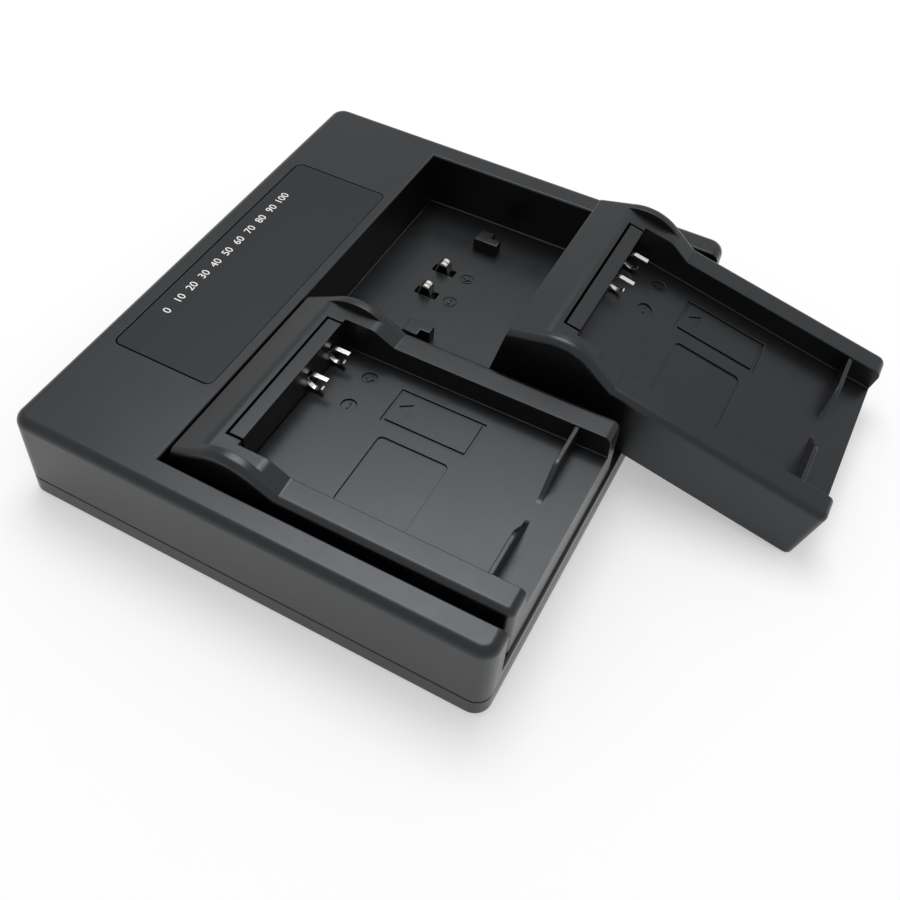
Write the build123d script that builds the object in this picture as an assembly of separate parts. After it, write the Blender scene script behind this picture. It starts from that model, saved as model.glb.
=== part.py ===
from build123d import *
import math
import os

# Dual camera battery charger: a base with a display panel and two plate bays,
# one battery plate seated in the left bay and one lying loose over the right bay.
# Millimetres, +X to the user's right, +Y towards the display, +Z up.
# The origin is the middle of the base's underside.

# Battery plate, measured from its front bottom edge
pocket_width = 35.5        # a 35 mm battery with its side play
rail_width = 5.4           # side rails beside the pocket
rail_height = 13.6
floor_height = 8.8         # pocket floor above the plate's underside
apron_length = 6.2         # open floor in front of the stop ribs
rib_thickness = 0.9
rib_gap = 4.0              # gap between the feet of the two stop ribs
rib_flat = 8.4             # level top of a rib, from the rail inwards
rib_drop = 0.3             # rib top below the rail top
pocket_length = 47.6       # from the stop ribs to the contact holder
plateau_height = 16.0      # flat top of the head
head_overlap = 6.1         # plateau in front of the holder's face
head_ramp = 4.6            # slope from the rails up to the plateau
crease_distance = 5.1      # holder face to the start of the back slope
back_slope = 6.1           # length of the back slope
back_edge_height = 12.9
ear_rise = 1.6             # crown of the side ears above the plateau
ear_wall = 2.6
rail_corner = 1.7          # rounded front corners, seen from above
rail_round = 1.5           # rounded outer top edges of the rails
ear_chamfer = 0.9
plate_wall = 1.8           # skin over the plate's hollow underside
cover_thickness = 1.2
cover_ledge = 1.0          # step that the cover seats on
cover_rim = 1.2            # body wall left round the cover

# Contact holder and battery contacts
holder_width = 32.6
holder_thickness = 2.9
holder_sink = 0.8          # depth of the holder's foot in the pocket floor
holder_gap = 0.45          # open groove behind and beside the holder
contact_offset = 5.0       # minus contact, right of the plate's middle
contact_pitch = 7.8
clip_width = 1.0
clip_thickness = 0.35
clip_length = 3.9          # reach in front of the holder's face
clip_gap = 3.5             # between the middles of the clip's two legs
clip_lift = 0.55           # middle of the lower leg above the pocket floor
clip_step = 1.2            # lower leg shorter than the upper one
clip_seat = 0.55           # back of the clip's bend behind the holder's face
contact_slot_play = 0.25

# Frames moulded into the pocket floor
mark_depth = 0.35
arrow_frame_length = 17.6
arrow_frame_width = 8.7
arrow_frame_line = 0.6
label_frame_length = 14.1
label_frame_width = 16.7
label_frame_corner = 1.0
frame_distance = 15.0      # from the holder's face to the arrow frame
frame_middle = 9.2         # middle of the arrow frame, right of the plate's middle
label_step = 1.9           # label frame starts this much further forward
frame_spacing = 3.3        # gap between the two frames

# Base
plate_side_gap = 2.0       # plate to the recess side
plate_middle_gap = 5.0     # between two seated plates
plate_back_gap = 0.7
plate_front_set = 0.5      # plate front behind the base front
side_wall = 5.8            # solid-looking wall beside the recess
deck_depth = 28.7          # top deck behind the recess
recess_depth = 12.6
recess_floor = 8.1         # height of the bay floor
floor_wall = 1.6
shell_wall = 2.0
seam_height = 4.9
seam_reveal = 0.4
tongue_wall = 0.8
latch_width = 8.0          # snap noses along the front
latch_reach = 0.5
latch_height = 0.6
latch_drop = 0.2           # nose below the top of its rib
base_corner = 3.2
top_round = 2.0
bottom_chamfer = 0.8
lip_chamfer = 0.3

# Display
panel_width = 65.2
panel_depth = 22.3
panel_corner = 1.6
panel_front_margin = 2.2   # deck between the recess and the panel
panel_thickness = 1.1
panel_gap = 0.25
screen_width = 50.0
screen_depth = 13.0
screen_border = 3.0
screen_thickness = 2.4
connector_length = 26.0
connector_thickness = 2.5
connector_chamfer = 0.4

# Bay hooks and spring contacts
hook_span = 29.4           # between the inner faces of a bay's two hooks
hook_bar = 2.1
hook_head = 1.7
hook_length = 5.6
hook_head_length = 3.5
hook_height = 2.9
hook_back_distance = 16.2  # recess back wall to the hooks' back ends
hook_play = 0.25
release_travel = 4.0       # forward slide that frees a plate
leaf_width = 1.7
leaf_thickness = 0.3
leaf_slit = 0.35
leaf_crest = 2.7           # above the bay floor
leaf_flat = 1.2            # level top between the two bends
leaf_bend = 0.6
leaf_window_length = 5.2
leaf_window_width = 2.2
leaf_front_distance = 0.55 # hook back ends to the window's front end, forward
leaf_middle = 0.6          # middle of the pair, right of the bay's middle
leaf_pitch = 8.2
leaf_foot = 4.0
pad_width = 2.0
pad_play = 0.1

# Board and fasteners
board_thickness = 1.2
board_standoff = 1.2
board_side_margin = 14.0
board_front_margin = 6.0   # board in front of the contact windows
board_back_play = 0.5
post_size = 3.6
post_inset = 4.0           # post middle from the board's edges
peg_diameter = 1.6
boss_size = 6.0
screw_diameter = 2.2
screw_head_diameter = 4.2  # countersunk, 90 degrees
screw_drive_width = 2.4    # cross recess in the head
screw_drive_slot = 0.55
screw_drive_depth = 0.6
screw_bite = 4.0           # length of screw above the shell floor
boss_inset = 6.0           # boss middle from the inner faces of the walls
usb_width = 8.9
usb_height = 3.2
usb_depth = 7.4
usb_wall = 0.35
usb_set_back = 0.7
usb_play = 0.3
chip_length = 5.0
chip_width = 4.0
chip_height = 1.5
chip_leads = 4             # on each long side
lead_width = 0.42
lead_reach = 1.0
lead_thickness = 0.35
inductor_size = 6.0
inductor_height = 3.2
inductor_corner = 1.0
inductor_core_diameter = 4.0
inductor_core_rise = 0.4
capacitor_diameter = 5.0
capacitor_height = 8.0
capacitor_inset = 10.6     # can middle from the board's side edges

# Loose plate
loose_reach = 35.1         # front edge ahead of the base's front face
loose_shift = -0.9         # sideways from the right bay's middle

fit_play = 0.15
seat_play = 0.05
overcut = 1.0              # cutters pass their faces by this much

# Sizes that follow
plate_width = pocket_width + 2 * rail_width
holder_front = apron_length + rib_thickness + pocket_length
ramp_top = holder_front - head_overlap
rail_end = ramp_top - head_ramp
crease = holder_front + crease_distance
plate_length = crease + back_slope
plate_pitch = plate_width + plate_middle_gap
recess_half = plate_pitch / 2 + plate_width / 2 + plate_side_gap
base_width = 2 * (recess_half + side_wall)
base_depth = deck_depth + plate_back_gap + plate_length + plate_front_set
base_height = recess_floor + recess_depth
front_y = -base_depth / 2
back_y = base_depth / 2
recess_back = back_y - deck_depth
plate_front_y = front_y + plate_front_set
plate_z = recess_floor + seat_play
hook_back = recess_back - hook_back_distance
leaf_window_front = hook_back - leaf_front_distance
leaf_window_middle = leaf_window_front + leaf_window_length / 2
panel_front = recess_back + panel_front_margin
panel_middle = panel_front + panel_depth / 2
board_bottom = shell_wall + board_standoff
board_top = board_bottom + board_thickness
tongue_height = recess_floor - floor_wall - seam_height - fit_play
screw_head_height = (screw_head_diameter - screw_diameter) / 2

LOW = (Align.CENTER, Align.CENTER, Align.MIN)


def block(x0, x1, y0, y1, z0, z1):
    """Box between two corners."""
    return Pos((x0 + x1) / 2, (y0 + y1) / 2, (z0 + z1) / 2) * Box(x1 - x0, y1 - y0, z1 - z0)


def side_profile(points, half_width, middle=0.0):
    """Closed outline in the YZ plane, given as (y, z), extruded across X."""
    outline = make_face(Polyline(*points, close=True))
    return Pos(middle, 0, 0) * extrude(Plane.YZ * outline, half_width, both=True)


def base_block(inset, low, high):
    """Rounded base outline, drawn in from the outer faces, between two heights."""
    outline = RectangleRounded(base_width - 2 * inset, base_depth - 2 * inset, base_corner - inset)
    return extrude(Pos(0, 0, low) * outline, high - low)


def inside_block(inset, low, high):
    """Plain box, drawn in from the base's outer faces, between two heights."""
    half = base_width / 2 - inset
    return block(-half, half, front_y + inset, back_y - inset, low, high)


def tongue(low, high, play):
    """Four straight locating ribs inside the walls, clear of the rounded corners."""
    across = base_width / 2 - base_corner + play
    along = base_depth / 2 - base_corner + play
    inset = shell_wall - tongue_wall - play
    side = base_width / 2 - inset
    end = base_depth / 2 - inset
    ribs = block(-across, across, -end, end, low, high) + block(-side, side, -along, along, low, high)
    return ribs - inside_block(shell_wall, low, high)


def bay_middles():
    return (-plate_pitch / 2, plate_pitch / 2)


# Battery plate

def plate_head():
    """Raised back of the plate: ramp, plateau and back slope, with an arched ear on each side."""
    half = plate_width / 2
    outline = [
        (ramp_top, plateau_height),
        (rail_end, rail_height),
        (rail_end, 0),
        (plate_length, 0),
        (plate_length, back_edge_height),
        (crease, plateau_height),
    ]
    core = side_profile(outline, half - ear_wall)
    crown = ((crease + ramp_top) / 2, plateau_height + ear_rise)
    arch = ThreePointArc(outline[-1], crown, outline[0])
    ear = extrude(Plane.YZ * make_face([Polyline(*outline), arch]), ear_wall)
    outer_edges = ear.faces().sort_by(Axis.X)[-1].edges()
    top_edges = outer_edges.filter_by(lambda edge: edge.center().Z > rail_height)
    right = Pos(half - ear_wall, 0, 0) * chamfer(top_edges, ear_chamfer)
    return core + right + mirror(right, about=Plane.YZ)


def plate_rails():
    """Front block of the plate with rounded corners and top edges."""
    half = plate_width / 2
    rails = block(-half, half, 0, rail_end, 0, rail_height)
    front_corners = rails.edges().filter_by(Axis.Z).group_by(Axis.Y)[0]
    rails = fillet(front_corners, rail_corner)
    top_edges = rails.faces().sort_by(Axis.Z)[-1].edges()
    back_edge = top_edges.sort_by(Axis.Y)[-1]
    return fillet(top_edges.filter_by(lambda edge: edge != back_edge), rail_round)


def stop_ribs():
    """Two thin ribs, level beside the rails and then sloping down to the pocket floor."""
    inner = rib_gap / 2
    knee = pocket_width / 2 - rib_flat
    outer = pocket_width / 2 + fit_play
    rib_top = rail_height - rib_drop
    outline = make_face(Polyline(
        (inner, floor_height - fit_play),
        (outer, floor_height - fit_play),
        (outer, rib_top),
        (knee, rib_top),
        (inner, floor_height),
        close=True,
    ))
    rib = extrude(Plane.XZ.offset(-apron_length - rib_thickness) * outline, rib_thickness)
    return rib + mirror(rib, about=Plane.YZ)


def clip_places():
    """Sideways places of the minus and plus contacts."""
    return (contact_offset, contact_offset + contact_pitch)


def pad_places():
    """Sideways places of the two pads under the plate, over the bay's leaves."""
    return (leaf_middle - leaf_pitch / 2, leaf_middle + leaf_pitch / 2)


def clip_back():
    """Middle of the strip at the back of the clip's bend."""
    return holder_front + clip_seat


def clip_bend_middle():
    return clip_back() - clip_gap / 2


def floor_marks():
    """Arrow frame and label frame, sunk in the pocket floor."""
    deep = floor_height - mark_depth
    arrow_back = holder_front - frame_distance
    arrow_y = arrow_back - arrow_frame_length / 2
    ring = Rectangle(arrow_frame_width, arrow_frame_length)
    ring -= Rectangle(arrow_frame_width - 2 * arrow_frame_line, arrow_frame_length - 2 * arrow_frame_line)
    arrow = extrude(Pos(frame_middle, arrow_y, deep) * ring, 2 * mark_depth)
    label_x = frame_middle - arrow_frame_width / 2 - frame_spacing - label_frame_width / 2
    label_y = arrow_back - label_step - label_frame_length / 2
    outline = RectangleRounded(label_frame_width, label_frame_length, label_frame_corner)
    label = extrude(Pos(label_x, label_y, deep) * outline, 2 * mark_depth)
    return arrow, label


def plate_body():
    """Moulded tray: rails, ribs and head over a hollow underside."""
    half = plate_width / 2
    inner = pocket_width / 2
    top = plateau_height + ear_rise + overcut
    body = plate_rails() + plate_head()
    body -= block(-inner, inner, -overcut, holder_front, floor_height, top)
    body += stop_ribs()
    slot_half = holder_width / 2 + holder_gap
    slot_front = holder_front - fit_play
    slot_back = holder_front + holder_thickness + holder_gap
    body -= block(-slot_half, slot_half, slot_front, slot_back, floor_height - holder_sink, top)
    for edge, high in ((cover_rim + cover_ledge, floor_height - plate_wall), (cover_rim, cover_thickness)):
        body -= block(-half + edge, half - edge, edge, plate_length - edge, -overcut, high)
    reach = clip_thickness / 2 + contact_slot_play
    hole = clip_width / 2 + contact_slot_play
    for x in clip_places():
        body -= block(x - hole, x + hole, clip_back() - reach, clip_back() + reach, 0, floor_height)
    for mark in floor_marks():
        body -= mark
    return body


def hook_slots():
    """Key-shaped slots in the cover, wide where a hook drops in and narrow where it locks."""
    slots = []
    bar_front = hook_back - hook_length - plate_front_y
    head_front = hook_back - hook_head_length - plate_front_y
    bar_back = hook_back - plate_front_y
    inner = hook_span / 2 - hook_play
    bar_outer = hook_span / 2 + hook_bar + hook_play
    head_outer = bar_outer + hook_head
    wide_front = head_front + release_travel - hook_play
    wide_back = bar_back + release_travel + hook_play
    for side in (-1, 1):
        narrow = sorted((side * inner, side * bar_outer))
        wide = sorted((side * inner, side * head_outer))
        slots.append(block(*narrow, bar_front - hook_play, wide_back, -overcut, cover_thickness + overcut))
        slots.append(block(*wide, wide_front, wide_back, -overcut, cover_thickness + overcut))
    return slots


def pad_span():
    """Front and back of the contact pads, long enough for the release slide."""
    front = leaf_window_front - plate_front_y
    return (front, front + leaf_window_length + release_travel)


def plate_cover():
    """Flat cover under the plate, with the hook slots and two contact windows."""
    edge = cover_rim + fit_play
    half = plate_width / 2 - edge
    cover = block(-half, half, edge, plate_length - edge, 0, cover_thickness)
    for slot in hook_slots():
        cover -= slot
    front, back = pad_span()
    for x in pad_places():
        window = leaf_window_width / 2
        cover -= block(x - window, x + window, front, back, -overcut, cover_thickness + overcut)
    return cover


def contact_holder():
    """Cross strip behind the pocket that carries the two battery contacts."""
    half = holder_width / 2
    foot = floor_height - holder_sink
    holder = block(-half, half, holder_front, holder_front + holder_thickness, foot, plateau_height)
    slot = clip_width / 2 + contact_slot_play
    slot_back = clip_back() + clip_thickness / 2 + contact_slot_play
    slot_top = floor_height + clip_lift + clip_gap + clip_thickness / 2 + contact_slot_play
    for x in clip_places():
        holder -= block(x - slot, x + slot, holder_front - overcut, slot_back, foot - overcut, slot_top)
    return holder


def battery_contact(clip_x, pad_x, run_height):
    """One stamped contact: open clip, tail through the floor, cross run and underside pad."""
    low = floor_height + clip_lift
    high = low + clip_gap
    tip = holder_front - clip_length
    bend = clip_bend_middle()
    radius = clip_gap / 2
    upper = Line((clip_x, tip, high), (clip_x, bend, high))
    arc = ThreePointArc((clip_x, bend, high), (clip_x, bend + radius, low + radius), (clip_x, bend, low))
    lower = Line((clip_x, bend, low), (clip_x, tip + clip_step, low))
    path = Wire([upper, arc, lower])
    start = Plane(origin=path @ 0, x_dir=(1, 0, 0), z_dir=path % 0)
    contact = sweep(start * Rectangle(clip_width, clip_thickness), path=path)
    half = clip_width / 2
    tail = (clip_back() - clip_thickness / 2, clip_back() + clip_thickness / 2)
    run = (clip_back() - half, clip_back() + half)
    run_top = run_height + clip_thickness
    pad_low = leaf_crest + pad_play
    contact += block(clip_x - half, clip_x + half, *tail, run_height, low + radius)
    contact += block(min(pad_x, clip_x) - half, max(pad_x, clip_x) + half, *run, run_height, run_top)
    contact += block(pad_x - half, pad_x + half, *tail, pad_low, run_top)
    pad_half = pad_width / 2
    contact += block(pad_x - pad_half, pad_x + pad_half, *pad_span(), pad_low, pad_low + clip_thickness)
    return contact


def plate_pieces():
    """All pieces of one battery plate, in the plate's own frame."""
    minus_x, plus_x = clip_places()
    minus_pad, plus_pad = pad_places()
    pad_low = leaf_crest + pad_play
    minus_run = (pad_low + floor_height - plate_wall) / 2
    return {
        "plate_body": plate_body(),
        "plate_cover": plate_cover(),
        "contact_holder": contact_holder(),
        "contact_minus": battery_contact(minus_x, minus_pad, minus_run),
        "contact_plus": battery_contact(plus_x, plus_pad, pad_low),
    }


# Base

def hook(side):
    """L-shaped bay hook: a bar with a head over a gap for the plate's cover."""
    inner = side * hook_span / 2
    outer = side * (hook_span / 2 + hook_bar)
    tip = side * (hook_span / 2 + hook_bar + hook_head)
    foot = recess_floor - floor_wall / 2
    top = recess_floor + hook_height
    under = plate_z + cover_thickness + hook_play
    bar = block(*sorted((inner, outer)), hook_back - hook_length, hook_back, foot, top)
    head = block(*sorted((inner, tip)), hook_back - hook_head_length, hook_back, under, top)
    return bar + head


def boss_places():
    """Two screw bosses at the back, under the deck."""
    x = base_width / 2 - shell_wall - boss_inset
    return [(side * x, back_y - shell_wall - boss_inset) for side in (-1, 1)]


def front_latch(x, play):
    """Snap nose on the front locating rib or, with play, the pocket that it springs into."""
    half = latch_width / 2 + play
    face = front_y + shell_wall - tongue_wall
    high = seam_height + tongue_height - latch_drop
    low = high - latch_height
    return block(x - half, x + half, face - latch_reach - play, face + play, low - play, high + play)


def usb_opening():
    """Slot for the charging inlet through the back wall, across the seam."""
    half = usb_width / 2 + usb_play
    low = board_top - usb_play
    high = board_top + usb_height + usb_play
    return block(-half, half, back_y - shell_wall - overcut, back_y + overcut, low, high)


def leaf_window(x):
    """Opening in the bay floor that one spring leaf stands in."""
    half = leaf_window_width / 2
    back = leaf_window_front + leaf_window_length
    low = recess_floor - floor_wall - overcut
    return block(x - half, x + half, leaf_window_front, back, low, recess_floor + overcut)


def housing():
    """Hollow upper housing with the recess for two plates let into its front."""
    shell = base_block(0, seam_height, base_height)
    shell = fillet(shell.faces().sort_by(Axis.Z)[-1].edges(), top_round)
    inside = inside_block(shell_wall, seam_height - overcut, base_height - shell_wall)
    tub_half = recess_half + shell_wall
    tub_back = recess_back + shell_wall
    front = front_y - overcut
    inside -= block(-tub_half, tub_half, front, tub_back, recess_floor - floor_wall, base_height)
    shell -= inside
    shell -= block(-recess_half, recess_half, front, recess_back, recess_floor, base_height + overcut)
    rim = Pos(0, (recess_back + front) / 2) * Rectangle(2 * recess_half, recess_back - front)
    return shell - extrude(Pos(0, 0, base_height - lip_chamfer) * rim, 2 * lip_chamfer, taper=-45)


def top_shell():
    """Upper housing with its panel seat, bay hooks, contact windows and screw bosses."""
    shell = housing()
    shell -= tongue(seam_height - overcut, seam_height + tongue_height + fit_play, fit_play)
    for x, y in boss_places():
        boss_height = base_height - shell_wall / 2 - shell_wall
        shell += Pos(x, y, shell_wall) * Box(boss_size, boss_size, boss_height, align=LOW)
        shell -= Pos(x, y, shell_wall) * Cylinder(screw_diameter / 2, screw_bite + fit_play, align=LOW)
    seat = RectangleRounded(panel_width, panel_depth, panel_corner)
    shell -= extrude(Pos(0, panel_middle, base_height - panel_thickness) * seat, panel_thickness + overcut)
    opening = Box(screen_width, screen_depth, shell_wall + overcut, align=LOW)
    shell -= Pos(0, panel_middle, base_height - shell_wall - overcut) * opening
    for middle in bay_middles():
        shell -= front_latch(middle, fit_play)
        for side in (-1, 1):
            shell += Pos(middle, 0, 0) * hook(side)
        for x in pad_places():
            shell -= leaf_window(middle + x)
    return shell - usb_opening()


def board_half():
    return base_width / 2 - board_side_margin


def board_front():
    return leaf_window_front - board_front_margin


def board_back():
    return back_y - shell_wall - board_back_play


def post_places():
    x = board_half() - post_inset
    ends = (board_front() + post_inset, board_back() - post_inset)
    return [(side * x, y) for side in (-1, 1) for y in ends]


def peg_places():
    """Two posts, corner to corner, that also locate the board."""
    return post_places()[::3]


def bottom_shell():
    """Lower housing: shallow tray with locating ribs, board posts and screw holes."""
    shell = base_block(0, 0, seam_height)
    shell = chamfer(shell.faces().sort_by(Axis.Z)[0].edges(), bottom_chamfer)
    reveal_low = seam_height - seam_reveal
    shell -= base_block(0, reveal_low, seam_height) - base_block(seam_reveal, reveal_low, seam_height)
    shell += tongue(reveal_low, seam_height + tongue_height, 0)
    shell -= inside_block(shell_wall, shell_wall, seam_height + overcut)
    for x in bay_middles():
        shell += front_latch(x, 0)
    for x, y in post_places():
        shell += Pos(x, y, shell_wall) * Box(post_size, post_size, board_standoff, align=LOW)
    for x, y in peg_places():
        peg = Cylinder(peg_diameter / 2, board_standoff + board_thickness, align=LOW)
        shell += Pos(x, y, shell_wall) * peg
    shank_room = screw_diameter / 2 + fit_play
    head_room = screw_head_diameter / 2 + fit_play
    for x, y in boss_places():
        shell -= Pos(x, y, 0) * Cylinder(shank_room, shell_wall + overcut, align=LOW)
        shell -= Pos(x, y, 0) * Cone(head_room, shank_room, screw_head_height, align=LOW)
    return shell - usb_opening()


def display_window():
    """Smoked panel set flush in the deck."""
    width = panel_width - 2 * panel_gap
    outline = RectangleRounded(width, panel_depth - 2 * panel_gap, panel_corner - panel_gap)
    return extrude(Pos(0, panel_middle, base_height - panel_thickness) * outline, panel_thickness)


def screen_low():
    return base_height - shell_wall - screen_thickness


def display_screen():
    """Liquid crystal screen under the panel, with a raised glass in the deck's opening."""
    width = screen_width + 2 * screen_border
    depth = screen_depth + 2 * screen_border
    back = Pos(0, panel_middle, screen_low()) * Box(width, depth, screen_thickness, align=LOW)
    glass_high = shell_wall - panel_thickness
    glass = Box(screen_width - 2 * fit_play, screen_depth - 2 * fit_play, glass_high, align=LOW)
    return back + Pos(0, panel_middle, base_height - shell_wall) * glass


def display_connector():
    """Header that carries the screen's lines down to the board."""
    body = Box(connector_length, connector_thickness, screen_low() - board_top, align=LOW)
    body = chamfer(body.edges().filter_by(Axis.Z), connector_chamfer)
    return Pos(0, panel_middle, board_top) * body


def circuit_board():
    """One board from under the bay contacts back to the charging inlet."""
    board = block(-board_half(), board_half(), board_front(), board_back(), board_bottom, board_top)
    for x, y in peg_places():
        hole = Cylinder(peg_diameter / 2 + fit_play, board_thickness, align=LOW)
        board -= Pos(x, y, board_bottom) * hole
    return board


def usb_socket():
    """Charging inlet: rounded metal mouth with a contact tongue."""
    middle = board_top + usb_height / 2
    face = Plane(origin=(0, back_y - usb_set_back, middle), x_dir=(1, 0, 0), z_dir=(0, -1, 0))
    socket = extrude(face * SlotOverall(usb_width, usb_height), usb_depth)
    mouth = SlotOverall(usb_width - 2 * usb_wall, usb_height - 2 * usb_wall)
    socket -= extrude(face * mouth, usb_depth - usb_wall)
    tongue_face = Rectangle(usb_width - usb_height, 2 * usb_wall)
    return socket + extrude(face.offset(usb_wall) * tongue_face, usb_depth - usb_wall)


def bay_leaf(x):
    """Bowed spring contact with a split crest, standing in a window of the bay floor."""
    foot_z = board_top + leaf_thickness / 2
    crest_z = recess_floor + leaf_crest - leaf_thickness / 2
    rise_y = leaf_window_front + 2 * leaf_thickness
    tip_y = leaf_window_front + leaf_window_length - 3 * leaf_thickness
    tip_z = recess_floor - floor_wall / 2
    crest_front = leaf_window_middle - leaf_flat / 2
    foot = Line((x, rise_y - leaf_foot, foot_z), (x, rise_y, foot_z))
    bow = FilletPolyline(
        (x, rise_y, foot_z),
        (x, crest_front, crest_z),
        (x, crest_front + leaf_flat, crest_z),
        (x, tip_y, tip_z),
        radius=leaf_bend,
    )
    path = Wire([foot, *bow.edges()])
    start = Plane(origin=path @ 0, x_dir=(1, 0, 0), z_dir=path % 0)
    leaf = sweep(start * Rectangle(leaf_width, leaf_thickness), path=path, transition=Transition.RIGHT)
    half = leaf_slit / 2
    slit_top = recess_floor + leaf_crest + overcut
    slit_front = crest_front - leaf_flat / 2
    return leaf - block(x - half, x + half, slit_front, tip_y + overcut, tip_z - overcut, slit_top)


def case_screws():
    """Two countersunk screws that clamp the back of the two shells from below."""
    shank_length = shell_wall - screw_head_height + screw_bite
    head = Cone(screw_head_diameter / 2, screw_diameter / 2, screw_head_height, align=LOW)
    head += Pos(0, 0, screw_head_height) * Cylinder(screw_diameter / 2, shank_length, align=LOW)
    arm = Box(screw_drive_width, screw_drive_slot, screw_drive_depth, align=LOW)
    screw = head - arm - Rot(0, 0, 90) * arm
    return Compound(children=[Pos(x, y, 0) * screw for x, y in boss_places()])


def board_chip():
    """Small outline chip with leads on its two long sides."""
    chip = Box(chip_length, chip_width, chip_height, align=LOW)
    pitch = chip_length / chip_leads
    for i in range(chip_leads):
        lead = Box(lead_width, chip_width + 2 * lead_reach, lead_thickness, align=LOW)
        chip += Pos((i + 0.5) * pitch - chip_length / 2, 0, 0) * lead
    return Pos(-board_half() / 2, panel_middle, board_top) * chip


def power_inductor():
    """Shielded coil block with a round core end on top."""
    body = Box(inductor_size, inductor_size, inductor_height, align=LOW)
    body = chamfer(body.edges().filter_by(Axis.Z), inductor_corner)
    core = Cylinder(inductor_core_diameter / 2, inductor_core_rise, align=LOW)
    body += Pos(0, 0, inductor_height) * core
    return Pos(board_half() / 2, panel_middle, board_top) * body


def filter_capacitors():
    """Two can capacitors beside the screen."""
    can = Cylinder(capacitor_diameter / 2, capacitor_height, align=LOW)
    x = board_half() - capacitor_inset
    return Compound(children=[Pos(side * x, panel_middle, board_top) * can for side in (-1, 1)])


def write(node, shape):
    export_step(shape, os.path.join("parts", node + ".step"))


def main():
    os.makedirs("parts", exist_ok=True)
    write("top_shell", top_shell())
    write("bottom_shell", bottom_shell())
    write("display_window", display_window())
    write("display_screen", display_screen())
    write("display_connector", display_connector())
    write("circuit_board", circuit_board())
    write("usb_socket", usb_socket())
    write("charge_controller", board_chip())
    write("power_inductor", power_inductor())
    write("filter_capacitors", filter_capacitors())
    write("case_screws", case_screws())
    for bay, middle in zip(("left", "right"), bay_middles()):
        for sign, x in zip(("minus", "plus"), pad_places()):
            write(bay + "_bay_" + sign, bay_leaf(middle + x))
    left, right = bay_middles()
    pitch_angle = math.degrees(math.atan2(plate_z, loose_reach))
    seated = Pos(left, plate_front_y, plate_z)
    loose = Pos(right + loose_shift, front_y - loose_reach, 0) * Rot(pitch_angle, 0, 0)
    for name, piece in plate_pieces().items():
        write("left_" + name, seated * piece)
        write("loose_" + name, loose * piece)


main()
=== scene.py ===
import math

import bmesh
import bpy
from mathutils import Matrix, Vector


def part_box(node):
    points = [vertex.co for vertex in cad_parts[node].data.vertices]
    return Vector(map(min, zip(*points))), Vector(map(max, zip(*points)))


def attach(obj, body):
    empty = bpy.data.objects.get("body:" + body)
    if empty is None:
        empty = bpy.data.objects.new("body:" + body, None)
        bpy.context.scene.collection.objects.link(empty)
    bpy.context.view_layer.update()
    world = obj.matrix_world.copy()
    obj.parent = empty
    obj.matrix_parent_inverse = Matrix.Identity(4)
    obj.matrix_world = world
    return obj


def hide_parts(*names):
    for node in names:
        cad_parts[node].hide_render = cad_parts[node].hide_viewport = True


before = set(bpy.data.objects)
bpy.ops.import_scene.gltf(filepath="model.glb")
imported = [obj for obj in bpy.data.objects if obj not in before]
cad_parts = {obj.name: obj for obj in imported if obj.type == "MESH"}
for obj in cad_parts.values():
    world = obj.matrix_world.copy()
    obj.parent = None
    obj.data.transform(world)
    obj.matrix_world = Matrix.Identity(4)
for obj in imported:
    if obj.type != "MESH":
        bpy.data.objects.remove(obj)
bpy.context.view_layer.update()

MM = 0.001

# Camera, fitted to the photograph's frame of 900 by 900: places in metres, lens in millimetres
CAMERA_PLACE = (-0.136046, -0.070648, 0.170111)
CAMERA_RIGHT = (0.48665, -0.87312, 0.02894)
CAMERA_UP = (0.64892, 0.38347, 0.65716)
CAMERA_BACK = (-0.58487, -0.30103, 0.75320)
CAMERA_LENS = 44.06
CAMERA_SENSOR = 36.0
CAMERA_SHIFT = (0.0579, -0.0449)
CAMERA_CLIP = 0.01

# Light and floor, in metres and watts
FLOOR_HALF = 4.0
FLOOR_DROP = 0.00005
FLOOR_WHITE = 0.93
FLOOR_SPREAD = 0.01
FLOOR_CLOUD = 0.4
FLOOR_LIFT = 0.4   # how far the table is shown towards plain white
SKY_LEVEL = 0.7
SKY_SHOWN = FLOOR_LIFT + (1 - FLOOR_LIFT) * FLOOR_WHITE * SKY_LEVEL   # tone of the far floor
SOFTBOX_PLACE = (0.22, 0.10, 0.77)
SOFTBOX_SIZE = 0.46
SOFTBOX_POWER = 3.2

# Places of a Mix node's colour sockets
MIX_FIRST = 6
MIX_SECOND = 7
MIX_RESULT = 2

# Moulded plastic: the sizes of its patterns, and how far each one swings the roughness
PLASTIC_IOR = 1.5
PLASTIC_GLOSS = 0.57
PLASTIC_TINT = (0.90, 0.945, 1.0, 1.0)
PLASTIC_BLUE = 1.04
PLASTIC_SPREAD = 0.15
CLOUD_SIZE = 14 * MM
CLOUD_DETAIL = 3.0
CLOUD_SWING = 0.08
MOTTLE_SIZE = 1.8 * MM
MOTTLE_SWING = 0.06
GRAIN_SIZE = 0.22 * MM
GRAIN_SWING = 0.10
GRAIN_SHARE = 0.7   # of the relief; the fine grain is the rest
FINE_SIZE = 0.08 * MM
DUST_SPACING = 5.5 * MM
DUST_RADIUS = 0.013   # as a share of the spacing
DUST_CLEAN = 0.72     # share of the spaces without a speck
DUST_GREY = 0.35
DUST_SWING = 0.3

# Film of the display panel
FILM_GLOSS = 0.375
FILM_GREYS = (0.0025, 0.0035)
FILM_BLUE = 1.1
FILM_ROUGHNESS = 0.36
FILM_CLOUD_SIZE = 20 * MM
FILM_CLOUD_SWING = 0.06
PEBBLE_SIZE = 0.12 * MM
PEBBLE_SWING = 0.05
PEBBLE_DEPTH = 0.003 * MM

# White print
INK_IOR = 1.45
INK_GREYS = (0.72, 0.9)
INK_ROUGHNESS = 0.45
INK_COVER_SIZE = 0.35 * MM
INK_COVER_SWING = 0.15

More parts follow.
